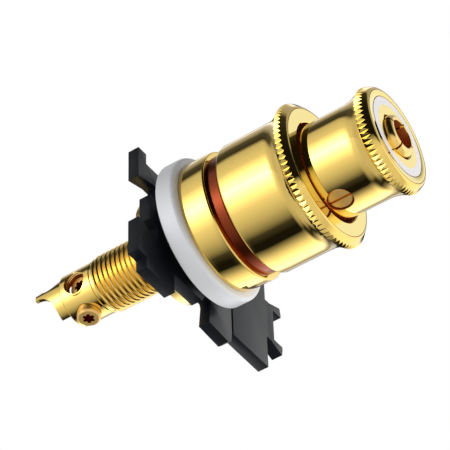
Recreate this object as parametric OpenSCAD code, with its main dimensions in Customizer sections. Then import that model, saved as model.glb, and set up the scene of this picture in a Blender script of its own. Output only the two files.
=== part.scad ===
// Gilt binding post for an audio panel: clamp knob, 4 mm socket with a collet, threaded stud
// Z runs along the axis towards the socket, and z = 0 is the face that bears on the panel.

/* [Insulators] */
// Radius of the white flange ring
ring_r = 10.3; // [9.8:0.1:11]
// Thickness of the white flange ring
ring_t = 2.8; // [2.4:0.1:4]
// Radius of the boss on the locking plate, which passes through the panel
boss_r = 6; // [5.6:0.1:7]
// Gap that the boss keeps between the flange ring and the locking plate
boss_standoff = 2.05; // [1:0.05:3]
// Depth of the recess in the flange ring that takes the boss
boss_seat = 1.2; // [0.8:0.1:1.6]
// Thickness of the locking plate
plate_t = 1.65; // [1.4:0.05:2.4]
// Distance from the axis to the fork edge of the locking plate
plate_left = 11; // [10:0.1:13]
// Distance from the axis to the tongue edge of the locking plate
plate_right = 18; // [15:0.1:22]
// Half width of the locking plate at its wing
wing_half = 8.9; // [8:0.1:10]
// Half width of the locking plate at its fork
fork_half = 7.3; // [7:0.1:8.4]
// Reach of the two barbed tongues past the edge
tongue_reach = 3.8; // [3:0.1:5]
// Half width over the roots of the tongues
tongue_half = 3.4; // [3:0.1:4]
// Width of one tongue
tongue_w = 1.6; // [1.2:0.1:2]
// How far a barb or its pocket stands out sideways
barb = 0.9; // [0.5:0.1:1.2]

/* [Stud and tail] */
// Outer radius of the stud's thread
stud_r = 4.05; // [3.9:0.05:4.4]
// Depth of the stud's thread
thread_depth = 0.35; // [0.2:0.05:0.45]
// Pitch of the stud's thread
stud_pitch = 0.75; // [0.5:0.05:1]
// Length of the stud's thread, from the plate's back
thread_len = 12.2; // [10:0.1:20]
// Radius of the smooth cable barrel
barrel_r = 3.72; // [3.4:0.02:3.9]
// Length of the cable barrel
barrel_len = 4.9; // [4.6:0.1:8]
// Radius of the cable bore
cable_r = 2.4; // [1.8:0.1:2.6]
// Outer radius of the solder tongue
tail_r = 3.4; // [3.1:0.05:3.6]
// Length of the solder tongue
tail_len = 4.1; // [3:0.1:6]
// Radius of the cutter that shapes the solder tongue
scallop_r = 2.3; // [1.8:0.1:2.6]

/* [Cable screws] */
// Radius of a cable screw
screw_r = 1.6; // [1.2:0.05:1.7]
// Length of a cable screw
screw_len = 2.4; // [2:0.1:2.8]
// Distance from the barrel's shoulder to the screw holes
screw_setback = 2.35; // [2.2:0.05:2.6]
// Direction of the screw that is turned in
screw_in_angle = 188.5; // [180:0.5:195]
// Direction of the screw that stands proud
screw_out_angle = 267; // [265:0.5:275]
// Height of the proud screw over the barrel
screw_proud = 0.95; // [0:0.05:1.2]
// Depth of the turned-in screw under the barrel's surface
screw_sunk = 1.35; // [1.2:0.05:1.6]
// Radius of the six-lobed drive recess, to the tips of its lobes
drive_r = 0.85; // [0.6:0.05:1]
// Depth of the drive recess
drive_depth = 1.1; // [0.6:0.1:1.4]

/* [Nut] */
// Radius of the nut and its washer
nut_r = 7.5; // [6.5:0.1:9]
// Thickness of the nut
nut_t = 1.2; // [1:0.1:3]
// Thickness of the washer under the nut
washer_t = 0.5; // [0.4:0.1:1]
// Width of the spanner slots in the nut
slot_w = 1.6; // [1.2:0.1:2.4]
// Clamping range for the panel
panel_range = 7; // [2:0.5:7]

/* [Body flange and stem] */
// Radius of the body flange
flange_r = 9.2; // [8.6:0.1:9.7]
// Thickness of the body flange
flange_t = 4; // [3:0.1:5]
// Radius of the stem
stem_r = 4; // [3.8:0.1:4.3]
// Distance from the axis to the flat on the stem
stem_flat = 3.4; // [3.2:0.1:3.7]
// Reach of the stem into the socket knob's chamber
stem_nose = 2.6; // [2.4:0.1:3]

/* [Clamp knob] */
// Radius of the pressure ring
clamp_ring_r = 8.45; // [7.4:0.05:8.7]
// Thickness of the pressure ring that shows
clamp_ring_t = 1.8; // [1.4:0.1:3]
// Radius of the clamp knob's waist
knob_r = 9.1; // [8.6:0.1:9.6]
// Length of the clamp knob
knob_len = 11.2; // [10.6:0.1:14]
// Radius over the clamp knob's knurl
knob_head_r = 10.2; // [9.8:0.1:11]
// Radius of the flat end face
knob_face_r = 9.12; // [8.6:0.02:9.5]
// Number of teeth in the clamp knob's knurl
knob_teeth = 80; // [48:2:96]
// Width of the clamp knob's knurled band
knob_band_w = 1.45; // [1.2:0.05:1.5]
// Height of the rounded lip between the knurl and the end face
knob_lip = 0.7; // [0.6:0.05:0.9]
// Radius of the well that takes the socket knob's shank
well_r = 7.1; // [6.9:0.1:7.6]
// Length of the clamp knob's thread
hub_len = 3.8; // [3.4:0.1:4.2]
// Opening of the clamp
clamp_range = 5; // [2:0.5:5]
// Pitch of the stem's thread
stem_pitch = 1; // [0.75:0.25:1.5]

/* [Socket knob] */
// Radius of the socket knob's shank
shank_r = 6.6; // [6.2:0.1:6.7]
// How far the socket knob stands out of the clamp knob
shank_out = 10.5; // [10:0.1:14]
// Radius over the socket knob's knurl
cap_head_r = 7.5; // [7.3:0.1:8.5]
// Radius of the flat end face
cap_face_r = 6.64; // [6.4:0.02:7]
// Number of teeth in the socket knob's knurl
cap_teeth = 66; // [40:2:76]
// Width of the socket knob's knurled band
cap_band_w = 1.2; // [1:0.05:1.3]
// Height of the rounded lip between the knurl and the end face
cap_lip = 1.05; // [0.95:0.05:1.2]
// Radius of the chamber inside the socket knob
chamber_r = 4.9; // [4.7:0.1:5.2]
// Thickness of the threaded bush in the back of the socket knob
bush_t = 2.1; // [1.8:0.1:2.3]
// Thickness of the wall between the chamber and the end face
end_wall = 1.7; // [1.5:0.1:2.2]
// Radius of the mouth in the end face
mouth_r = 3.12; // [3.05:0.01:3.3]
// Inner radius of the colour ring
code_in_r = 4.45; // [4:0.05:4.6]
// Outer radius of the colour ring
code_out_r = 5.6; // [5.2:0.05:6]
// Depth of the colour ring
code_t = 1.2; // [0.8:0.05:1.25]
// Radius of the lock screw
lock_r = 1.6; // [1.2:0.05:1.7]
// Distance from the clamp knob's face to the lock screw
lock_out = 1.75; // [1.75:0.05:3]
// Direction of the lock screw
lock_angle = 266; // [0:1:359]
// Depth of the lock screw's head under the shank's surface
lock_sunk = 0.35; // [0.3:0.05:0.6]
// Width of the lock screw's slot
lock_slot = 0.35; // [0.25:0.05:0.5]
// Travel of the socket knob
grip_range = 1.5; // [0.5:0.1:1.5]

/* [Collet] */
// Radius of the plug bore
socket_r = 2; // [1.9:0.02:2.1]
// Radius of the collet's spigot
spigot_r = 3.05; // [2.9:0.05:3.1]
// Length of the collet's spigot
spigot_len = 5; // [4:0.1:6]
// Length of the collet's cone
cone_len = 2.6; // [2.2:0.1:3]
// Radius of the collet's nose
nose_r = 2.95; // [2.8:0.05:3]
// Length of the collet's nose
nose_len = 1; // [0.6:0.1:1.2]
// How far the collet's nose lies under the end face
nose_sunk = 0.9; // [0.7:0.05:1.2]
// Number of slits in the collet
slits = 4; // [3:1:6]
// Width of a slit
slit_w = 0.5; // [0.4:0.05:0.6]
// Direction of the first slit
slit_angle = 37; // [0:1:359]

/* [Fits] */
// Radial clearance of a running fit
running = 0.05; // [0.04:0.01:0.08]
// Height of a knurl tooth
tooth_h = 0.26; // [0.2:0.02:0.4]

/* [Hidden] */
$fn = 96;
eps = 0.01;
edge = 0.25;
long = 60;

// Heights along the axis, from the panel face outwards
flange_z = ring_t;
clamp_z = flange_z + flange_t;
knob_z = clamp_z + clamp_ring_t;
knob_face_z = knob_z + knob_len;
end_z = knob_face_z + shank_out;
bush_z = knob_z + hub_len + clamp_range + 2 * running;
stem_end_z = bush_z + bush_t + stem_nose - bush_t / 2;
chamber_top_z = end_z - end_wall;
nose_z = end_z - nose_sunk;
cone_top_z = nose_z - nose_len;
cone_z = cone_top_z - cone_len;

// Heights along the axis, from the panel face backwards
plate_z = -boss_standoff - plate_t;
washer_z = plate_z - washer_t;
nut_z = washer_z - nut_t;
barrel_z = plate_z - thread_len;
tail_z = barrel_z - barrel_len;
screw_z = barrel_z - screw_setback;

core_r = stud_r - thread_depth;
stud_bore = stud_r + running;
stem_bore = stem_r + running;
thread_out = 2;
wing_x = 9.5;
wing_groove = 0.4;
clip_t = 0.5;
clip_in = 1.3;
clip_depth = 0.35;
hub_recess = 1.9;
collar_r = 5.6;
slip_t = 0.3;
slip_rim = 0.35;
slip_r = clamp_ring_r - slip_rim;
knob_band_in = 1.9;
knob_flare = 2.2;
cap_band_in = 2.15;
cap_flare = 2.5;
flare_steps = 6;

gold = [0.86, 0.72, 0.36];
bright = [0.93, 0.8, 0.47];
copper = [0.62, 0.3, 0.16];
white = [0.86, 0.86, 0.88];
black = [0.13, 0.13, 0.14];

// Points [r, z] of an arc with its centre at [r, z], from angle a to angle b
function arc(cr, cz, radius, a, b, steps) =
    [for (i = [0:steps]) let (t = a + (b - a) * i / steps)
        [cr + radius * cos(t), cz + radius * sin(t)]];

// Points [r, z] of a thread drawn as rings at its pitch, from a height up to another
function rings(from, to) =
    let (count = floor((to - from) / stud_pitch), start = to - count * stud_pitch)
    [for (i = [0:count - 1]) for (p = [[core_r, 0], [stud_r, 0.4], [stud_r, 0.6]])
        [p[0], start + (i + p[1]) * stud_pitch]];

// Hollow flare that leaves a waist and rises by a given height over a given length
function flare(waist, z, rise, run, steps) =
    let (radius = (rise * rise + run * run) / (2 * rise), sweep = asin(run / radius))
    arc(waist + radius, z, radius, 180, 180 - sweep, steps);

// Rounded lip that leads from a knurl's edge to the flat end face over a given drop
function lip(outer, face, z, drop, steps) =
    [for (i = [0:steps]) let (t = 90 * i / steps)
        [face + (outer - face) * cos(t), z - drop * (1 - sin(t))]];

// Flat ring of revolution
module tube(z, h, inner, outer) {
    translate([0, 0, z]) difference() {
        cylinder(r = outer, h = h);
        translate([0, 0, -eps]) cylinder(r = inner, h = h + 2 * eps);
    }
}

// Turned blank: revolves a list of [r, z] points
module turned(points) {
    rotate_extrude() polygon(points);
}

// Toothed sleeve that cuts a straight knurl into a band
module knurl_cutter(z, width, tip, depth, teeth) {
    crest = tip + running / 2;
    star = [for (i = [0:2 * teeth - 1]) let (r = i % 2 == 0 ? crest : tip - depth)
        r * [cos(180 * i / teeth), sin(180 * i / teeth)]];
    translate([0, 0, z]) linear_extrude(height = width) difference() {
        circle(r = tip + 1);
        polygon(star);
    }
}

// Radial bar along a direction, from one radius to another
module radial(angle, z, r, from, to) {
    rotate([0, 0, angle]) translate([from, 0, z]) rotate([0, 90, 0]) cylinder(r = r, h = to - from);
}

module solder_tongue() {
    difference() {
        tube(tail_z - tail_len, tail_len + barrel_r - tail_r, cable_r, tail_r);
        translate([-cable_r * cos(75), -long / 2, tail_z - long]) cube([long, long, long]);
        for (side = [-1, 1]) translate([-long / 2, side * (tail_r - 0.7), tail_z - tail_len + 0.4])
            rotate([0, 90, 0]) cylinder(r = scallop_r, h = long);
    }
}

module contact_post() {
    color(gold) difference() {
        union() {
            turned(concat([[0, tail_z], [barrel_r - edge, tail_z], [barrel_r, tail_z + edge],
                [barrel_r, barrel_z]], rings(barrel_z + edge, -thread_out),
                [[core_r, -thread_out], [stud_r, edge - thread_out], [stud_r, flange_z],
                [flange_r - 2 * edge, flange_z], [flange_r - edge / 2, flange_z + edge / 2],
                [flange_r, flange_z + 2 * edge], [flange_r, clamp_z - edge],
                [flange_r - edge, clamp_z], [stem_r, clamp_z], [stem_r, stem_end_z - edge],
                [stem_r - edge, stem_end_z], [0, stem_end_z]]));
            solder_tongue();
        }
        translate([stem_flat, -long / 2, clamp_z]) cube([long, long, bush_z - clamp_z - running]);
        translate([0, 0, stem_end_z - spigot_len]) cylinder(r = spigot_r, h = long);
        translate([0, 0, tail_z - eps]) cylinder(r = cable_r, h = barrel_len + eps);
        translate([0, 0, barrel_z - eps]) cylinder(r1 = cable_r, r2 = 0, h = cable_r / 2);
        for (angle = [screw_in_angle, screw_out_angle]) {
            radial(angle, screw_z, screw_r + running, 0, long);
            rotate([0, 0, angle]) translate([barrel_r - edge, 0, screw_z]) rotate([0, 90, 0])
                cylinder(r1 = screw_r, r2 = screw_r + 2 * edge, h = 2 * edge);
        }
    }
}

module front_insulator() {
    color(white) turned([[stud_bore, boss_seat], [boss_r + running, boss_seat], [boss_r + running, 0],
        [ring_r - edge, 0], [ring_r, edge], [ring_r, ring_t - 2 * edge], [ring_r - 2 * edge, ring_t],
        [stud_bore, ring_t]]);
}

// Outline of the locking plate, with the fork at -X and the tongues at +X
module plate_outline() {
    heel_w = 1.7;
    foot = fork_half + 3.4;
    step = fork_half + 0.8;
    toe = [[3.8, 1 - foot], [4.2, -foot], [8.6, -foot - 0.4], [9.3, 0.2 - foot],
        [wing_x + eps, -wing_half], [wing_x + eps, 0], [4.6, 0]];
    notch = [[2.8, -step], [3.6, 1.5 - step], [4.5, 1.5 - step], [4.7, 0.9 - step], [3.8, -long / 4],
        [2.8, -long / 4]];
    difference() {
        union() {
            translate([-plate_left, -wing_half - 0.6]) square([heel_w, 2 * wing_half + 0.8]);
            translate([heel_w - plate_left, -foot - 0.6]) square([6, foot]);
            translate([-plate_left, -step]) square([plate_left + wing_x, fork_half + step]);
            translate([wing_x, -wing_half]) square([plate_right - wing_x, 2 * wing_half]);
            polygon(toe);
            tongues();
        }
        fork_recess();
        polygon(notch);
    }
}

// Two barbed tongues that snap into the fork of the next plate
module tongues() {
    tip = plate_right + tongue_reach;
    root = plate_right - 1;
    gap = tongue_half - tongue_w + barb;
    difference() {
        polygon([[root, -tongue_half], [plate_right + 1, -tongue_half], [tip - 0.2, -tongue_half - barb],
            [tip, -tongue_half], [tip, tongue_half], [tip - 0.2, tongue_half + barb],
            [plate_right + 1, tongue_half], [root, tongue_half]]);
        translate([plate_right + 1.85, -gap]) square([tongue_reach, 2 * gap]);
    }
}

// Mouth and two pockets that take the barbed tongues of the plate before
module fork_recess() {
    deep = -plate_left + tongue_reach + 0.4;
    pocket = tongue_half + barb + 0.3;
    tooth = tongue_half - tongue_w + barb - 0.5;
    difference() {
        polygon([[-plate_left - 1, -tongue_half - 0.2], [-plate_left, -tongue_half - 0.3],
            [deep - 1.2, -pocket], [deep, -pocket], [deep, pocket], [deep - 1.2, pocket],
            [-plate_left, tongue_half + 0.3], [-plate_left - 1, tongue_half + 0.2]]);
        translate([-plate_left + 2.4, -tooth]) square([long, 2 * tooth]);
    }
}

module locking_plate() {
    color(black) difference() {
        union() {
            translate([0, 0, plate_z]) linear_extrude(height = plate_t) plate_outline();
            translate([0, 0, plate_z]) cylinder(r = boss_r, h = boss_seat - running - plate_z);
        }
        translate([0, 0, plate_z - 1]) cylinder(r = stud_bore, h = long);
        translate([wing_x, -long / 2, -boss_standoff - wing_groove])
            cube([wing_groove, long, 2 * wing_groove]);
    }
}

module stud_washer() {
    color(gold) tube(washer_z, washer_t, stud_bore, nut_r);
}

module ring_nut() {
    color(bright) difference() {
        turned([[stud_bore, nut_z], [nut_r - 2 * edge, nut_z], [nut_r, nut_z + edge],
            [nut_r, washer_z], [stud_bore, washer_z]]);
        for (i = [0:3]) rotate([0, 0, 45 + 90 * i])
            translate([nut_r - slot_w, -slot_w / 2, nut_z - 1]) cube([long, slot_w, nut_t / 2 + 1]);
    }
}

// Grub screw along +X with its drive recess at the outer end
module grub_screw(outer) {
    inner = outer - screw_len;
    lobe_r = drive_r * 0.3;
    translate([inner, 0, screw_z]) rotate([0, 90, 0]) difference() {
        turned([[0, 0], [screw_r - 2 * edge, 0], [screw_r, 2 * edge], [screw_r, screw_len - edge],
            [screw_r - edge, screw_len], [0, screw_len]]);
        translate([0, 0, screw_len - drive_depth]) {
            cylinder(r = drive_r - lobe_r, h = long, $fn = 24);
            for (i = [0:5]) rotate([0, 0, 60 * i]) translate([drive_r - lobe_r, 0, 0])
                cylinder(r = lobe_r, h = long, $fn = 24);
        }
    }
}

module cable_screw_inner() {
    color(gold) rotate([0, 0, screw_in_angle]) grub_screw(barrel_r - screw_sunk);
}

module cable_screw_proud() {
    color(gold) rotate([0, 0, screw_out_angle]) grub_screw(barrel_r + screw_proud);
}

module pressure_ring() {
    clip_z = knob_z + clip_in;
    color(copper) difference() {
        turned([[0, clamp_z], [clamp_ring_r - edge, clamp_z], [clamp_ring_r, clamp_z + edge],
            [clamp_ring_r, knob_z - slip_t], [collar_r, knob_z - slip_t], [collar_r, clip_z - clip_t],
            [collar_r - clip_depth, clip_z - clip_t], [collar_r - clip_depth, clip_z],
            [collar_r, clip_z], [collar_r, knob_z + hub_recess - 2 * running],
            [0, knob_z + hub_recess - 2 * running]]);
        difference() {
            translate([0, 0, clamp_z - 1]) cylinder(r = stem_bore, h = long);
            translate([stem_flat + running, -long / 2, clamp_z - 1]) cube([long, long, long]);
        }
    }
}

module retaining_clip() {
    mouth = 2.4;
    inner = collar_r - clip_depth + running;
    outer = collar_r + 0.5;
    color(gold) difference() {
        tube(knob_z + clip_in - clip_t + running, clip_t - 2 * running, inner, outer);
        translate([0, -mouth / 2, knob_z]) cube([long, mouth, long]);
    }
}

module slip_washer() {
    color(copper) tube(knob_z - slip_t, slip_t - running, collar_r + running, slip_r);
}

module clamp_knob() {
    band_z = knob_face_z - knob_band_in;
    rise = knob_head_r - tooth_h / 2 - knob_r;
    groove_z = knob_z + clip_in - clip_t;
    color(gold) difference() {
        turned(concat([[stem_bore, knob_z], [knob_r - edge, knob_z], [knob_r, knob_z + edge]],
            flare(knob_r, band_z - knob_flare, rise, knob_flare, flare_steps),
            [[knob_head_r, band_z + edge]],
            lip(knob_head_r, knob_face_r, knob_face_z, knob_lip, flare_steps),
            [[well_r, knob_face_z], [well_r, knob_z + hub_len], [stem_bore, knob_z + hub_len]]));
        knurl_cutter(band_z, knob_band_w, knob_head_r, tooth_h, knob_teeth);
        translate([0, 0, knob_z - 1]) cylinder(r = collar_r + 2 * running, h = hub_recess + 1);
        translate([0, 0, groove_z]) cylinder(r = collar_r + 0.6, h = clip_t);
    }
}

module banana_collet() {
    color(gold) difference() {
        turned([[socket_r, stem_end_z - spigot_len + running], [spigot_r, stem_end_z - spigot_len + running],
            [spigot_r, stem_end_z], [stem_r, stem_end_z], [stem_r, cone_z], [nose_r, cone_top_z],
            [nose_r, nose_z - edge / 2], [nose_r - edge / 2, nose_z], [socket_r + 2 * edge, nose_z],
            [socket_r, nose_z - 2 * edge]]);
        for (i = [0:slits - 1]) rotate([0, 0, slit_angle + 360 * i / slits])
            translate([0, -slit_w / 2, stem_end_z + slit_w]) cube([long, slit_w, long]);
    }
}

// Ring with an inner cone that closes the collet's fingers as the socket knob is screwed in;
// its keys slide in the collet's slits
module squeeze_ring() {
    gap = 2 * running;
    foot_drop = 0.6;
    foot_z = cone_z + foot_drop;
    foot_r = stem_r - foot_drop * (stem_r - nose_r) / cone_len + gap;
    top_z = chamber_top_z - running;
    key_w = slit_w - gap;
    key_depth = 0.45;
    color(bright) union() {
        turned([[foot_r, foot_z], [chamber_r - running, foot_z], [chamber_r - running, top_z],
            [nose_r + gap, top_z], [nose_r + gap, cone_top_z]]);
        for (i = [0:slits - 1]) rotate([0, 0, slit_angle + 360 * i / slits])
            translate([nose_r - key_depth, -key_w / 2, foot_z])
            cube([foot_r - nose_r + 2 * key_depth, key_w, top_z - foot_z]);
    }
}

module socket_knob() {
    band_z = end_z - cap_band_in;
    rise = cap_head_r - tooth_h / 2 - shank_r;
    color(gold) difference() {
        turned(concat([[chamber_r, bush_z], [shank_r - edge, bush_z], [shank_r, bush_z + edge]],
            flare(shank_r, band_z - cap_flare, rise, cap_flare, flare_steps),
            [[cap_head_r, band_z + edge]],
            lip(cap_head_r, cap_face_r, end_z, cap_lip, flare_steps),
            [[code_out_r, end_z], [code_out_r, end_z - code_t], [code_in_r, end_z - code_t],
            [code_in_r, end_z], [mouth_r, end_z], [mouth_r, chamber_top_z],
            [chamber_r, chamber_top_z]]));
        knurl_cutter(band_z, cap_band_w, cap_head_r, tooth_h, cap_teeth);
        radial(lock_angle, knob_face_z + lock_out, lock_r + running, 0, long);
    }
}

// Slotted screw in the shank, with its slot along the axis
module lock_screw() {
    head = shank_r - lock_sunk;
    slot_depth = 0.6;
    color(gold) rotate([0, 0, lock_angle]) translate([0, 0, knob_face_z + lock_out]) difference() {
        rotate([0, 90, 0]) turned([[0, chamber_r + running], [lock_r - edge, chamber_r + running],
            [lock_r, chamber_r + running + edge], [lock_r, head - edge / 2], [lock_r - edge / 2, head],
            [0, head]]);
        translate([head - slot_depth, -lock_slot / 2, -long / 2]) cube([long, lock_slot, long]);
    }
}

module threaded_bush() {
    color(bright) tube(bush_z, bush_t, stem_bore, chamber_r);
}

module colour_ring() {
    color(white) tube(end_z - code_t, code_t, code_in_r, code_out_r);
}

contact_post();
front_insulator();
locking_plate();
stud_washer();
ring_nut();
cable_screw_inner();
cable_screw_proud();
pressure_ring();
retaining_clip();
slip_washer();
clamp_knob();
banana_collet();
squeeze_ring();
socket_knob();
lock_screw();
threaded_bush();
colour_ring();
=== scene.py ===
from math import asin, cos, degrees, hypot, pi, radians, sin, sqrt, tau

import bmesh
import bpy
from mathutils import Matrix, Vector


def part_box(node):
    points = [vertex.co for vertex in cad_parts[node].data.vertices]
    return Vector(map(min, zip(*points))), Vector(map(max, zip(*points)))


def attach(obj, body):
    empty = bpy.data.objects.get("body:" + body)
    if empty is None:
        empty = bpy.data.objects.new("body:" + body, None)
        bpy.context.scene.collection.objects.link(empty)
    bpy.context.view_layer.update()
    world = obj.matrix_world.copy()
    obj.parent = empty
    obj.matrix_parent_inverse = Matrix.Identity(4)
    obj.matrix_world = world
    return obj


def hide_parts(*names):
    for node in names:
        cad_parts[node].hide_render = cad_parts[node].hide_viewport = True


MM = 0.001
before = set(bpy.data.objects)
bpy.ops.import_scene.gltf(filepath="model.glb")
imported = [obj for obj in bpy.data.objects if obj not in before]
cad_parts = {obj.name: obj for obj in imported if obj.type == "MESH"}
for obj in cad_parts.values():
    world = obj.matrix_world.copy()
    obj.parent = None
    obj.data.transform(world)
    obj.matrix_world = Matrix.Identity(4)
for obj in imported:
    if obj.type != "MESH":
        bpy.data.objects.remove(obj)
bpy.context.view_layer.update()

# Places along the axis and outer radii, in millimetres, read from the CAD nodes
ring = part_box("front_insulator")
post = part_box("contact_post")
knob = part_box("clamp_knob")
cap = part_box("socket_knob")
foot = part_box("pressure_ring")
RING_R, RING_TOP = ring[1].x / MM, ring[1].z / MM
KNOB_Z, KNOB_TOP, HEAD_R = knob[0].z / MM, knob[1].z / MM, knob[1].x / MM
CAP_Z, CAP_TOP, CAP_R = cap[0].z / MM, cap[1].z / MM, cap[1].x / MM
FLANGE_R = post[1].x / MM
FOOT_Z = foot[0].z / MM

# Sizes of the two knobs, in millimetres
KNOB_R, KNOB_FACE_R, KNOB_BORE = 9.1, 9.12, 4.05
WELL_R, HUB_TOP = 7.1, KNOB_Z + 3.8
SHANK_R, CAP_FACE_R, CHAMBER_R = 6.6, 6.64, 4.9
MOUTH_R, MOUTH_T = 3.12, 1.7
CODE_IN, CODE_OUT, CODE_T = 4.45, 5.6, 1.2
KNOB_TEETH, CAP_TEETH, TOOTH = 80, 66, 0.26
SCRIBE_W, SCRIBE_T = 0.1, 0.06
LOCK_Z, LOCK_R, LOCK_ANGLE = KNOB_TOP + 1.75, 1.6, radians(266)

# Sizes of the post, the collet and the white ring, in millimetres
STUD_R, STUD_CORE, STUD_TOP, PITCH = 4.05, 3.7, -1.8, 0.75
BARREL_R, CABLE_R, BARREL_Z, TAIL_Z = 3.72, 2.4, -15.9, -20.8
TAIL_R, TONGUE_R, TIP_Z, TONGUE_X = 3.4, 2.85, -24.9, -0.8
SCREW_Z, SCREW_R, SCREW_GAP = BARREL_Z - 2.35, 1.6, 0.05
SCREW_IN, SCREW_OUT = radians(188.5), radians(267)
SUNK_HEAD, PROUD_HEAD, DRIVE_R = BARREL_R - 1.35, BARREL_R + 0.95, 0.9
RELIEF, RELIEF_IN, RELIEF_OUT, HOLE_PITCH = 0.2, 2.45, 3.3, 0.32
STEM_R, STEM_TOP, SEAT_R, SEAT_Z = 4.0, 21.15, 3.05, 16.15
PLUG_R, CONE_Z, NOSE_R, NOSE_Z, NOSE_OUT = 2.0, 25.8, 2.95, 28.4, 0.75
SLITS, SLIT_W, SLIT_Z = radians(76), 0.28, 21.7
SPIGOT_IN, SPIGOT_OUT, SPIGOT_TOP = 4.1, 6.05, 1.2

# Reach of a cutting tool past the piece, in millimetres
FAR = 9


def put(node, values):
    """Sets a node's inputs from a table of names and values."""
    for key, value in values.items():
        node.inputs[key].default_value = value


def new_material(name, colour, metallic, rough, **more):
    material = bpy.data.materials.new(name)
    material.use_nodes = True
    put(material.node_tree.nodes["Principled BSDF"],
        {"Base Color": (*colour, 1), "Metallic": metallic, "Roughness": rough, **more})
    return material


def gold(name, colour, rough, coat):
    """Gilt metal with a clear top and the faintest unevenness."""
    material = new_material(name, colour, 1.0, rough,
                            **{"Coat Weight": coat, "Coat Roughness": 0.03, "Coat IOR": 1.5})
    nodes, links = material.node_tree.nodes, material.node_tree.links
    noise = nodes.new("ShaderNodeTexNoise")
    put(noise, {"Scale": 900, "Detail": 2})
    coord = nodes.new("ShaderNodeTexCoord")
    bump = nodes.new("ShaderNodeBump")
    put(bump, {"Strength": 0.02, "Distance": 0.00001})
    links.new(coord.outputs["Object"], noise.inputs["Vector"])
    links.new(noise.outputs["Fac"], bump.inputs["Height"])
    links.new(bump.outputs["Normal"], nodes["Principled BSDF"].inputs["Normal"])
    return material


GILT = gold("gilt_polish", (0.95, 0.67, 0.17), 0.03, 0.25)
GILT_FACE = gold("gilt_face", (0.92, 0.75, 0.24), 0.06, 0.1)
# Dark gold that paints shade into fine grooves: the scribed lines and the edge round the colour ring
GILT_GROOVE_SHADE = gold("gilt_groove_painted_shade", (0.3, 0.13, 0.02), 0.3, 0.0)
# Dark red gold that paints shade into the cable bore and round the screw holes
BORE_SHADE = gold("gilt_cable_bore_painted_shade", (0.55, 0.2, 0.05), 0.4, 0.0)
# Rough red gold for the walls of wells and bores: the red is a painted glow of light bouncing between gilt
# walls
WELL_GLOW = gold("gilt_well_painted_glow", (0.85, 0.3, 0.07), 0.5, 0.0)
GILT_SCREW = gold("gilt_screw", (0.97, 0.62, 0.2), 0.42, 0.2)
GILT_SOFT = gold("gilt_soft", (0.95, 0.66, 0.2), 0.14, 0.4)
# Near-black red gold, painted shade in the drive recess of the cable screws
GILT_DRIVE_SHADE = gold("gilt_drive_painted_shade", (0.35, 0.06, 0.01), 0.35, 0.0)
GILT_THREAD = gold("gilt_thread", (0.96, 0.66, 0.17), 0.16, 0.6)
GILT_SATIN = gold("gilt_satin", (0.96, 0.72, 0.26), 0.24, 0.3)
# Dark red-brown for the pressure ring and slip washer: partly their reddish colour, partly painted shade of
# the narrow groove they sit in
BRONZE_SHADE = gold("bronze_painted_shade", (0.24, 0.04, 0.01), 0.28, 0.15)
WHITE = new_material("white_plastic", (0.93, 0.945, 0.97), 0.12, 0.45)
CODE_WHITE = new_material("white_enamel", (0.97, 0.94, 0.93), 0.6, 0.3)
BLACK = new_material("black_plastic", (0.007, 0.009, 0.013), 0.0, 0.35, **{"Specular IOR Level": 0.22})


def piece(name, bm, material=None, sharp=None):
    """Object made from a bmesh, smooth between its sharp edges where it gets a material."""
    mesh = bpy.data.meshes.new(name)
    bm.to_mesh(mesh)
    bm.free()
    if material:
        mesh.shade_smooth()
        mesh.set_sharp_from_angle(angle=radians(sharp))
        mesh.materials.append(material)
    obj = bpy.data.objects.new(name, mesh)
    bpy.context.scene.collection.objects.link(obj)
    return obj


def arc(cr, cz, radius, start, end, steps):
    """Points (r, z) of an arc, angles in degrees."""
    out = []
    for i in range(steps + 1):
        t = radians(start + (end - start) * i / steps)
        out.append((cr + radius * cos(t), cz + radius * sin(t)))
    return out


def flare(waist, z, rise, run, steps=24):
    """Points of an arc that leaves a waist along the axis and gains rise over run."""
    radius = (rise * rise + run * run) / (2 * rise)
    sweep = degrees(asin(run / radius))
    return arc(waist + radius, z, radius, 180, 180 - sweep, steps)


def lathe(name, points, material, body, steps=256, sharp=40):
    """Turned piece from (r, z) points in millimetres, or from a function of the angle."""
    bm = bmesh.new()
    columns = [points(tau * k / steps) if callable(points) else points for k in range(steps)]
    rings = []
    for i, (r, z) in enumerate(columns[0]):
        if r < 1e-6:
            rings.append([bm.verts.new((0, 0, z * MM))])
            continue
        row = []
        for k, column in enumerate(columns):
            t, (rr, zz) = tau * k / steps, column[i]
            row.append(bm.verts.new((rr * cos(t) * MM, rr * sin(t) * MM, zz * MM)))
        rings.append(row)
    pairs = list(zip(rings, rings[1:]))
    if len(rings[0]) > 1 and len(rings[-1]) > 1:
        pairs.append((rings[-1], rings[0]))
    for a, b in pairs:
        for k in range(steps):
            m = (k + 1) % steps
            if len(a) == 1:
                bm.faces.new((a[0], b[m], b[k]))
            elif len(b) == 1:
                bm.faces.new((a[k], a[m], b[0]))
            else:
                bm.faces.new((a[k], a[m], b[m], b[k]))
    bmesh.ops.recalc_face_normals(bm, faces=bm.faces)
    obj = piece(name, bm, material, sharp)
    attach(obj, body)
    return obj


def tint(obj, material, where):
    """Gives a second material to the faces whose middle (x, y, z in mm) passes a test."""
    obj.data.materials.append(material)
    slot = len(obj.data.materials) - 1
    for face in obj.data.polygons:
        if where(*(face.center / MM)):
            face.material_index = slot


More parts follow.
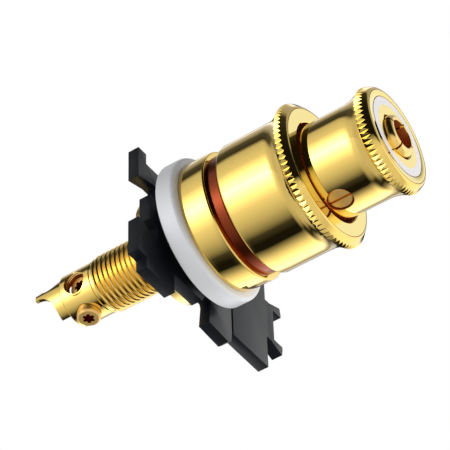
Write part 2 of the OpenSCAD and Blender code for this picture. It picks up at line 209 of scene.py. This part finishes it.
def knurled(before, base, after, teeth):
    """Profile by angle: a band of V grooves that run out where the base gets smaller."""
    rows, crest_rows, hair = 14, 3, 1e-5
    head = max(r for r, z in base)
    lengths = [0.0]
    for a, b in zip(base, base[1:]):
        lengths.append(lengths[-1] + sqrt((b[0] - a[0]) ** 2 + (b[1] - a[1]) ** 2))

    def at(s):
        s = min(max(s, 0.0), lengths[-1])
        i = max(k for k in range(len(base) - 1) if lengths[k] <= s)
        u = (s - lengths[i]) / (lengths[i + 1] - lengths[i])
        return tuple(base[i][k] + (base[i + 1][k] - base[i][k]) * u for k in (0, 1))

    def reach(limit, order):
        for i in order:
            r0, r1 = base[i][0], base[i + 1][0]
            if min(r0, r1) <= limit - hair < max(r0, r1):
                return lengths[i] + (limit - hair - r0) / (r1 - r0) * (lengths[i + 1] - lengths[i])

    def profile(t):
        part = (t * teeth / tau) % 1.0
        limit = head - TOOTH * (1 - abs(2 * part - 1))
        order = range(len(base) - 1)
        start, end = reach(limit, order), reach(limit, reversed(order))
        out = [at(start * i / rows) for i in range(rows)]
        low, high = at(start), at(end)
        out += [(limit, low[1] + (high[1] - low[1]) * i / crest_rows) for i in range(crest_rows + 1)]
        out += [at(end + (lengths[-1] - end) * i / rows) for i in range(1, rows + 1)]
        return before + out + after
    return profile


def bar(name, radius, start, end, angle, z, aside=0):
    """Round bar along a direction square to the axis, used only to cut."""
    bm = bmesh.new()
    bmesh.ops.create_cone(bm, cap_ends=True, segments=96, radius1=radius * MM, radius2=radius * MM,
                          depth=(end - start) * MM)
    place = Matrix.Rotation(angle, 4, "Z") @ Matrix.Translation(((start + end) / 2 * MM, 0, 0))
    bmesh.ops.transform(bm, matrix=Matrix.Translation((0, aside * MM, z * MM)) @ place
                        @ Matrix.Rotation(pi / 2, 4, "Y"), verts=bm.verts)
    return piece(name, bm)


def block(name, low, high, turn=0):
    """Box between two corners in millimetres, turned about the axis, used only to cut."""
    bm = bmesh.new()
    bmesh.ops.create_cube(bm, size=1.0)
    for v in bm.verts:
        v.co = Vector([(low[k] + high[k]) / 2 + (high[k] - low[k]) * v.co[k] for k in range(3)]) * MM
    bmesh.ops.transform(bm, matrix=Matrix.Rotation(turn, 4, "Z"), verts=bm.verts)
    return piece(name, bm)


def baked(obj):
    """Mesh that a piece has with its modifiers, which are taken off."""
    graph = bpy.context.evaluated_depsgraph_get()
    mesh = bpy.data.meshes.new_from_object(obj.evaluated_get(graph))
    obj.modifiers.clear()
    return mesh


def cut(obj, tools):
    """Cuts the tools out of a piece, then makes the result the piece's own mesh."""
    for tool in tools:
        mod = obj.modifiers.new("cut", "BOOLEAN")
        mod.operation = "DIFFERENCE"
        mod.solver = "EXACT"
        mod.object = tool
    bpy.context.view_layer.update()
    mesh = baked(obj)
    mesh.name = obj.data.name + "_cut"
    obj.data = mesh
    mesh.set_sharp_from_angle(angle=radians(40))
    for tool in tools:
        data = tool.data
        bpy.data.objects.remove(tool)
        bpy.data.meshes.remove(data)


def bend(a, b, c, steps=12):
    """Points of a curve from a to c that leans towards b."""
    return [tuple((1 - u) ** 2 * a + 2 * u * (1 - u) * b + u ** 2 * c)
            for u in (i / steps for i in range(steps + 1))]


def lip(outer, face, top, drop, corner):
    """Bevelled lip from the knurl to the end face, as (r, z) points, with both its ends rounded."""
    low, high = Vector((outer, top - drop)), Vector((face, top))
    slope = (high - low).normalized()
    lean = low + Vector((0, corner))
    turn = high + Vector((corner * 0.9, -corner * 0.12))
    return bend(low, lean, lean + slope * corner) + bend(turn - slope * corner * 1.2, turn, high)


def rim(waist, head, face, top, foot_drop, run, crest, drop, corner):
    """Side of a knob from its waist over flare and crest to the end face; drops are below the face."""
    out = flare(waist, top - foot_drop, head - waist - TOOTH, run)
    out += [(head - 0.01, top - crest[0] - 0.04), (head, top - crest[0]), (head, top - crest[1])]
    return out + lip(head, face, top, drop, corner)


def scribe(r, top):
    """Fine turned line round an end face, just inside its edge."""
    return [(r, top - 0.01), (r - SCRIBE_W / 2, top - SCRIBE_T), (r - SCRIBE_W, top)]


def faced(obj, face, top):
    """Gives the scribed line painted shade and the flat end face of a knob its own finish."""
    half = SCRIBE_W / 2
    tint(obj, GILT_GROOVE_SHADE, lambda x, y, z: z > top - SCRIBE_T - 0.02 and abs(hypot(x, y) - face + half) < half)
    tint(obj, GILT_FACE, lambda x, y, z: z > top - 0.005)


# Clamp knob; its bore is plain, so it overlaps the pressure ring's collar and the retaining clip, for
# which the CAD node has a recess
edge, break_t = 0.3, 0.12
before = [(KNOB_BORE, KNOB_Z), (KNOB_R - edge, KNOB_Z)] + arc(KNOB_R - edge, KNOB_Z + edge, edge, -90, 0, 6)
before += [(KNOB_R, KNOB_Z + 2), (KNOB_R, KNOB_Z + 4)]
base = rim(KNOB_R, HEAD_R, KNOB_FACE_R, KNOB_TOP, 3.95, 2.3, (1.3, 1.12), 1.1, 0.2)
after = scribe(KNOB_FACE_R, KNOB_TOP)
after += [(WELL_R + break_t, KNOB_TOP), (WELL_R, KNOB_TOP - break_t), (WELL_R, HUB_TOP),
          (KNOB_BORE, HUB_TOP)]
clamp = lathe("clamp_knob_polished", knurled(before, base, after, KNOB_TEETH), GILT, "clamp",
              8 * KNOB_TEETH, 24)
# Painted red glow on the walls of the well
tint(clamp, WELL_GLOW, lambda x, y, z: hypot(x, y) < WELL_R + 0.01 and z > HUB_TOP - 0.01)
faced(clamp, KNOB_FACE_R, KNOB_TOP)
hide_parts("clamp_knob")

# Socket knob
edge, break_t, inlay_t = 0.2, 0.15, 0.1
before = [(CHAMBER_R, CAP_Z), (SHANK_R - edge, CAP_Z)] + arc(SHANK_R - edge, CAP_Z + edge, edge, -90, 0, 4)
before += [(SHANK_R, CAP_Z + 2.2), (SHANK_R, CAP_Z + 6)]
base = rim(SHANK_R, CAP_R, CAP_FACE_R, CAP_TOP, 4.6, 2.65, (1.54, 1.46), 1.45, 0.3)
after = scribe(CAP_FACE_R, CAP_TOP)
after += [(CODE_OUT + 0.12, CAP_TOP), (CODE_OUT, CAP_TOP - inlay_t), (CODE_OUT, CAP_TOP - CODE_T),
          (CODE_IN, CAP_TOP - CODE_T), (CODE_IN, CAP_TOP), (MOUTH_R + break_t, CAP_TOP),
          (MOUTH_R, CAP_TOP - break_t), (MOUTH_R, CAP_TOP - MOUTH_T), (CHAMBER_R, CAP_TOP - MOUTH_T)]
socket = lathe("socket_knob_polished", knurled(before, base, after, CAP_TEETH), GILT, "socket",
               8 * CAP_TEETH, 24)
cut(socket, [bar("lock_tool", LOCK_R + 0.15, 3, 12, LOCK_ANGLE, LOCK_Z)])
# Painted red glow on the inside of the shank
tint(socket, WELL_GLOW, lambda x, y, z: hypot(x, y) < SHANK_R - 0.03 and z < KNOB_TOP + 4)
# Painted shade in the narrow groove round the colour ring
tint(socket, GILT_GROOVE_SHADE, lambda x, y, z: z > CAP_TOP - 0.09 and 0 < hypot(x, y) - CODE_OUT < 0.11)
# Painted red glow on the wall of the mouth
tint(socket, WELL_GLOW, lambda x, y, z: z > CAP_TOP - MOUTH_T - 0.1 and hypot(x, y) < MOUTH_R + 0.01)
faced(socket, CAP_FACE_R, CAP_TOP)
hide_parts("socket_knob")

# Contact post from the cable bore out to the barrel, the stud, the flange and the stem, which is round
# where the CAD node has a flat for the pressure ring
neck_r, edge, tail_in = STUD_CORE - 0.1, 0.2, CABLE_R - 0.3
points = [(0, TAIL_Z + 6.2), (CABLE_R, TAIL_Z + 5), (CABLE_R, TAIL_Z + 0.6), (tail_in, TAIL_Z + 0.3),
          (tail_in, TAIL_Z), (TONGUE_R, TAIL_Z), (TONGUE_R, TIP_Z), (TAIL_R, TIP_Z), (TAIL_R, TAIL_Z),
          (BARREL_R - edge, TAIL_Z), (BARREL_R, TAIL_Z + edge), (BARREL_R, BARREL_Z),
          (neck_r, BARREL_Z + 0.1), (neck_r, STUD_TOP - 0.2), (STUD_R, STUD_TOP), (STUD_R, RING_TOP)]
points += [(FLANGE_R - 0.3, RING_TOP)] + arc(FLANGE_R - 0.3, RING_TOP + 0.3, 0.3, -90, 0, 6)
points += arc(FLANGE_R - 0.25, FOOT_Z - 0.25, 0.25, 0, 90, 6)
points += [(STEM_R, FOOT_Z), (STEM_R, STEM_TOP - edge), (STEM_R - edge, STEM_TOP), (SEAT_R, STEM_TOP),
           (SEAT_R, SEAT_Z), (0, SEAT_Z)]
body = lathe("contact_post_polished", points, GILT, "post")
scallops = [bar("scallop_tool", r, -FAR, FAR, 0, TIP_Z + z, y)
            for y, z, r in ((-2.75, 0.25, 2.5), (2.9, 0.25, 2.3), (2.9, 1.75, 2.3))]
cut(body, [bar("screw_tool_in", SCREW_R + SCREW_GAP, 0.5, 6, SCREW_IN, SCREW_Z),
           bar("screw_relief_tool", SCREW_R + RELIEF, RELIEF_IN, RELIEF_OUT, SCREW_IN, SCREW_Z),
           bar("screw_tool_out", SCREW_R + SCREW_GAP, 0.5, 6, SCREW_OUT, SCREW_Z),
           block("half_tool", (TONGUE_X, -FAR, TIP_Z - 1), (FAR, FAR, TAIL_Z - 0.001)),
           *scallops])
# Painted shade in the cable bore and round the cable screws
tint(body, BORE_SHADE, lambda x, y, z: TAIL_Z < z < BARREL_Z + 2 and (
    hypot(x, y) < CABLE_R + 0.02 or hypot(x, y) < BARREL_R - 0.03 and abs(z - SCREW_Z) < SCREW_R + 0.3))
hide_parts("contact_post")


def thread(name, low, high, core, crest, pitch, material, rides, place=Matrix()):
    """Helical ridge with rounded crest on a smooth core, or inside a bore where crest < core."""
    bm = bmesh.new()
    steps = 96
    total = int((high - low) / pitch * steps)
    sunk = core - 0.12 if crest > core else core + 0.12
    half = ((-0.49, 0.0), (-0.3, 0.42), (-0.16, 0.82), (-0.05, 1.0))
    form = half + tuple((-dz, height) for dz, height in reversed(half))
    rows = []
    for i in range(total + 1):
        t = tau * i / steps
        fade = max(min(1.0, i / steps * 1.5, (total - i) / steps * 1.5), 0.02)
        row = []
        for dz, height in form:
            r = core + (crest - core) * fade * height if height > 0 else sunk
            z = low + pitch * (i / steps + dz)
            row.append(bm.verts.new((r * cos(t) * MM, r * sin(t) * MM, z * MM)))
        rows.append(row)
    for a, b in zip(rows, rows[1:]):
        for k in range(len(form)):
            m = (k + 1) % len(form)
            bm.faces.new((a[k], b[k], b[m], a[m]))
    bm.faces.new(rows[0])
    bm.faces.new(list(reversed(rows[-1])))
    bmesh.ops.transform(bm, matrix=place, verts=bm.verts)
    bmesh.ops.recalc_face_normals(bm, faces=bm.faces)
    obj = piece(name, bm, material, 60)
    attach(obj, rides)


thread("stud_thread", BARREL_Z + 0.4, STUD_TOP - 0.4, STUD_CORE, STUD_R, PITCH, GILT_THREAD, "post")
across = (Matrix.Translation((0, 0, SCREW_Z * MM)) @ Matrix.Rotation(SCREW_IN, 4, "Z")
          @ Matrix.Rotation(pi / 2, 4, "Y"))
thread("screw_hole_thread", RELIEF_IN + 0.05, RELIEF_OUT, SCREW_R + RELIEF, SCREW_R + 0.03, HOLE_PITCH,
       GILT_SATIN, "post", across)

# Collet with its nose just proud of the end face; its slits and nose differ from the CAD node's, so the
# squeeze ring's keys overlap its fingers
nose_top, flat_r = CAP_TOP + NOSE_OUT, 2.25
points = [(PLUG_R, SEAT_Z + 0.05), (SEAT_R, SEAT_Z + 0.05), (SEAT_R, STEM_TOP), (STEM_R, STEM_TOP),
          (STEM_R, CONE_Z), (NOSE_R, NOSE_Z), (NOSE_R, CAP_TOP)]
points += [(flat_r + (NOSE_R - flat_r) * cos(radians(a)), CAP_TOP + NOSE_OUT * sin(radians(a)))
           for a in range(10, 90, 10)]
points += [(flat_r, nose_top), (PLUG_R + 0.08, nose_top), (PLUG_R, nose_top - 0.08)]
nose = lathe("banana_collet_polished", points, GILT_SOFT, "post", 192, 30)
cut(nose, [block("slit_tool_%d" % i, (0, -SLIT_W / 2, SLIT_Z), (FAR, SLIT_W / 2, 40), SLITS + i * pi / 2)
           for i in range(4)])
# Painted red glow in the collet's bore
tint(nose, WELL_GLOW, lambda x, y, z: hypot(x, y) < PLUG_R + 0.03)
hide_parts("banana_collet")

# Flange ring with rounded edges
edge, shoulder = 0.25, 0.6
points = [(SPIGOT_IN, SPIGOT_TOP), (SPIGOT_OUT, SPIGOT_TOP), (SPIGOT_OUT, 0), (RING_R - edge, 0)]
points += arc(RING_R - edge, edge, edge, -90, 0, 6)
points += arc(RING_R - shoulder, RING_TOP - shoulder, shoulder, 0, 90, 12) + [(SPIGOT_IN, RING_TOP)]
flange = lathe("front_insulator_moulded", points, WHITE, "post", sharp=50)
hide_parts("front_insulator")

# Locking plate: a copy of the CAD piece, whose bevel comes out too narrow to measure
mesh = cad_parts["locking_plate"].data.copy()
mesh.name = "locking_plate_moulded"
bm = bmesh.new()
bm.from_mesh(mesh)
bmesh.ops.remove_doubles(bm, verts=bm.verts, dist=0.000002)
bmesh.ops.dissolve_limit(bm, angle_limit=radians(1), verts=bm.verts, edges=bm.edges)
bm.to_mesh(mesh)
bm.free()
mesh.materials.clear()
mesh.materials.append(BLACK)
moulded = bpy.data.objects.new("locking_plate_moulded", mesh)
bpy.context.scene.collection.objects.link(moulded)
bevel = moulded.modifiers.new("edges", "BEVEL")
bevel.width = 0.2 * MM
bevel.segments = 3
bevel.limit_method = "ANGLE"
bevel.angle_limit = radians(35)
bevel.harden_normals = True
bpy.context.view_layer.update()
mesh.shade_smooth()
moulded.data = baked(moulded)
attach(moulded, "back_plate")
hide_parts("locking_plate")

# Finish of the CAD pieces that stay; the dark bronze on the pressure ring and slip washer is partly painted
# shade
for node, material in (("stud_washer", GILT), ("ring_nut", GILT_SATIN), ("cable_screw_inner", GILT_SCREW),
                       ("cable_screw_proud", GILT_SCREW), ("pressure_ring", BRONZE_SHADE), ("retaining_clip", GILT),
                       ("slip_washer", BRONZE_SHADE), ("squeeze_ring", GILT), ("threaded_bush", GILT),
                       ("colour_ring", CODE_WHITE), ("lock_screw", GILT_SCREW)):
    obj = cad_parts[node]
    obj.data.materials.clear()
    obj.data.materials.append(material)
    obj.data.shade_smooth()
    obj.data.set_sharp_from_angle(angle=radians(30))


def drive(node, angle, head):
    """Paints shade into the recess of a cable screw: what lies under its head near its own axis."""
    ahead, side = Vector((cos(angle), sin(angle), 0)), Vector((-sin(angle), cos(angle), 0))

    def inside(x, y, z):
        spot = Vector((x, y, z - SCREW_Z))
        return spot.dot(ahead) < head - 0.02 and hypot(spot.dot(side), spot.z) < DRIVE_R
    tint(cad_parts[node], GILT_DRIVE_SHADE, inside)


drive("cable_screw_inner", SCREW_IN, SUNK_HEAD)
drive("cable_screw_proud", SCREW_OUT, PROUD_HEAD)

# Camera, placed and turned by a least-squares fit to outlines picked in the photo
scene = bpy.context.scene
camera_data = bpy.data.cameras.new("camera")
camera = bpy.data.objects.new("camera", camera_data)
scene.collection.objects.link(camera)
place = Vector((-177.0, -209.7, 121.2))
right = Vector((0.5743, -0.0267, 0.8181))
up = Vector((-0.5642, 0.7111, 0.4193))
back = right.cross(up)
camera.matrix_world = Matrix.Translation(place * MM) @ Matrix((
    (right.x, up.x, back.x), (right.y, up.y, back.y), (right.z, up.z, back.z))).to_4x4()
camera_data.lens = 183.4
camera_data.sensor_width = 36
camera_data.clip_start = 0.01
camera_data.clip_end = 10
scene.camera = camera

# Studio: white to the camera, and a banded tent round the post's axis for reflections. The bands' stops
# were rounded from a table of the photo's brightness by direction of reflection, then changed
world = bpy.data.worlds.new("studio")
scene.world = world
world.use_nodes = True
tree = world.node_tree
tree.nodes.clear()


def join(node, socket, source):
    tree.links.new(source, node.inputs[socket])
    return node


def worked(operation, *sources):
    """Output of a maths node fed by the sources."""
    node = tree.nodes.new("ShaderNodeMath")
    node.operation = operation
    for i, source in enumerate(sources):
        join(node, i, source)
    return node.outputs[0]


coord = tree.nodes.new("ShaderNodeTexCoord")
split = join(tree.nodes.new("ShaderNodeSeparateXYZ"), 0, coord.outputs["Generated"])
unit = join(tree.nodes.new("ShaderNodeMapRange"), "Value",
            worked("ARCTAN2", split.outputs["Y"], split.outputs["X"]))
put(unit, {"From Min": -pi, "From Max": pi})
level = worked("DEGREES", worked("ARCSINE", split.outputs["Z"]))


def band(*stops):
    """Brightness round the axis, from (direction in degrees, value) stops."""
    node = join(tree.nodes.new("ShaderNodeValToRGB"), "Fac", unit.outputs[0])
    ramp = node.color_ramp
    ramp.interpolation = "LINEAR"
    ramp.elements.remove(ramp.elements[-1])
    placed = sorted((((a + 180) % 360) / 360, v) for a, v in stops)
    for i, (where, value) in enumerate(placed):
        element = ramp.elements[0] if i == 0 else ramp.elements.new(where)
        element.position = where
        element.color = (value, value, value, 1)
    return node.outputs["Color"]


def stack(below, above, low, high):
    """Goes over from one band to the next between two heights in degrees."""
    step = join(tree.nodes.new("ShaderNodeMapRange"), "Value", level)
    step.interpolation_type = "SMOOTHSTEP"
    put(step, {"From Min": low, "From Max": high})
    node = tree.nodes.new("ShaderNodeMix")
    node.data_type = "RGBA"
    for i, source in ((0, step.outputs[0]), (6, below), (7, above)):
        join(node, i, source)
    return node.outputs[2]


skirt = band((0, 0.05), (15, 0.4), (40, 0.8), (70, 0.5), (90, 0.15), (105, 0.4), (125, 0.6), (185, 0.7),
             (300, 0.6), (315, 0.3), (325, 0.02), (350, 0.02))
lower = band((0, 1.0), (12, 0.6), (20, 0.15), (36, 0.03), (60, 0.03), (66, 0.5), (85, 0.4), (100, 0.08),
             (118, 0.08), (132, 0.6), (165, 0.8), (190, 1.0), (215, 0.85), (250, 0.62), (275, 0.5),
             (292, 0.3), (303, 0.03), (328, 0.03), (340, 0.3), (352, 0.8))
waist = band((0, 2.2), (10, 0.9), (18, 0.3), (26, 0.7), (34, 0.7), (39, 0.03), (60, 0.03), (66, 1.3),
             (75, 0.6), (90, 0.35), (100, 0.08), (116, 0.04), (125, 0.6), (150, 0.85), (163, 1.5),
             (174, 3.0), (186, 4.0), (198, 2.6), (208, 1.5), (222, 0.95), (246, 0.6), (262, 0.3),
             (272, 0.05), (285, 0.01), (298, 0.01), (308, 0.35), (318, 0.8), (330, 1.3), (345, 2.0))
collar = band((0, 1.3), (20, 1.3), (30, 0.4), (38, 0.03), (60, 0.03), (66, 1.5), (80, 1.4), (95, 0.6),
              (110, 0.2), (125, 0.1), (150, 0.4), (175, 1.2), (200, 1.2), (215, 0.6), (245, 0.3),
              (262, 0.1), (300, 0.2), (325, 0.4), (340, 1.1))
top = band((0, 1.25), (20, 1.2), (40, 1.1), (52, 1.0), (62, 0.5), (75, 0.45), (88, 0.4), (96, 0.04),
           (125, 0.015), (140, 0.01), (200, 0.01), (216, 0.7), (235, 0.9), (268, 0.8), (290, 0.8),
           (310, 0.8), (328, 0.7), (345, 1.2))
tent_colour = band((0, 0.65), (180, 0.65))
for above, low, high in ((skirt, -64, -54), (lower, -54, -43), (waist, -40, -27), (collar, -20, -9),
                         (top, -7, 3)):
    tent_colour = stack(tent_colour, above, low, high)
tent = join(tree.nodes.new("ShaderNodeBackground"), "Color", tent_colour)
white = tree.nodes.new("ShaderNodeBackground")
put(white, {"Color": (1, 1, 1, 1)})
path = tree.nodes.new("ShaderNodeLightPath")
mix = join(tree.nodes.new("ShaderNodeMixShader"), "Fac", path.outputs["Is Camera Ray"])
join(mix, 1, tent.outputs[0])
join(mix, 2, white.outputs[0])
join(tree.nodes.new("ShaderNodeOutputWorld"), "Surface", mix.outputs[0])
scene.view_settings.view_transform = "Standard"
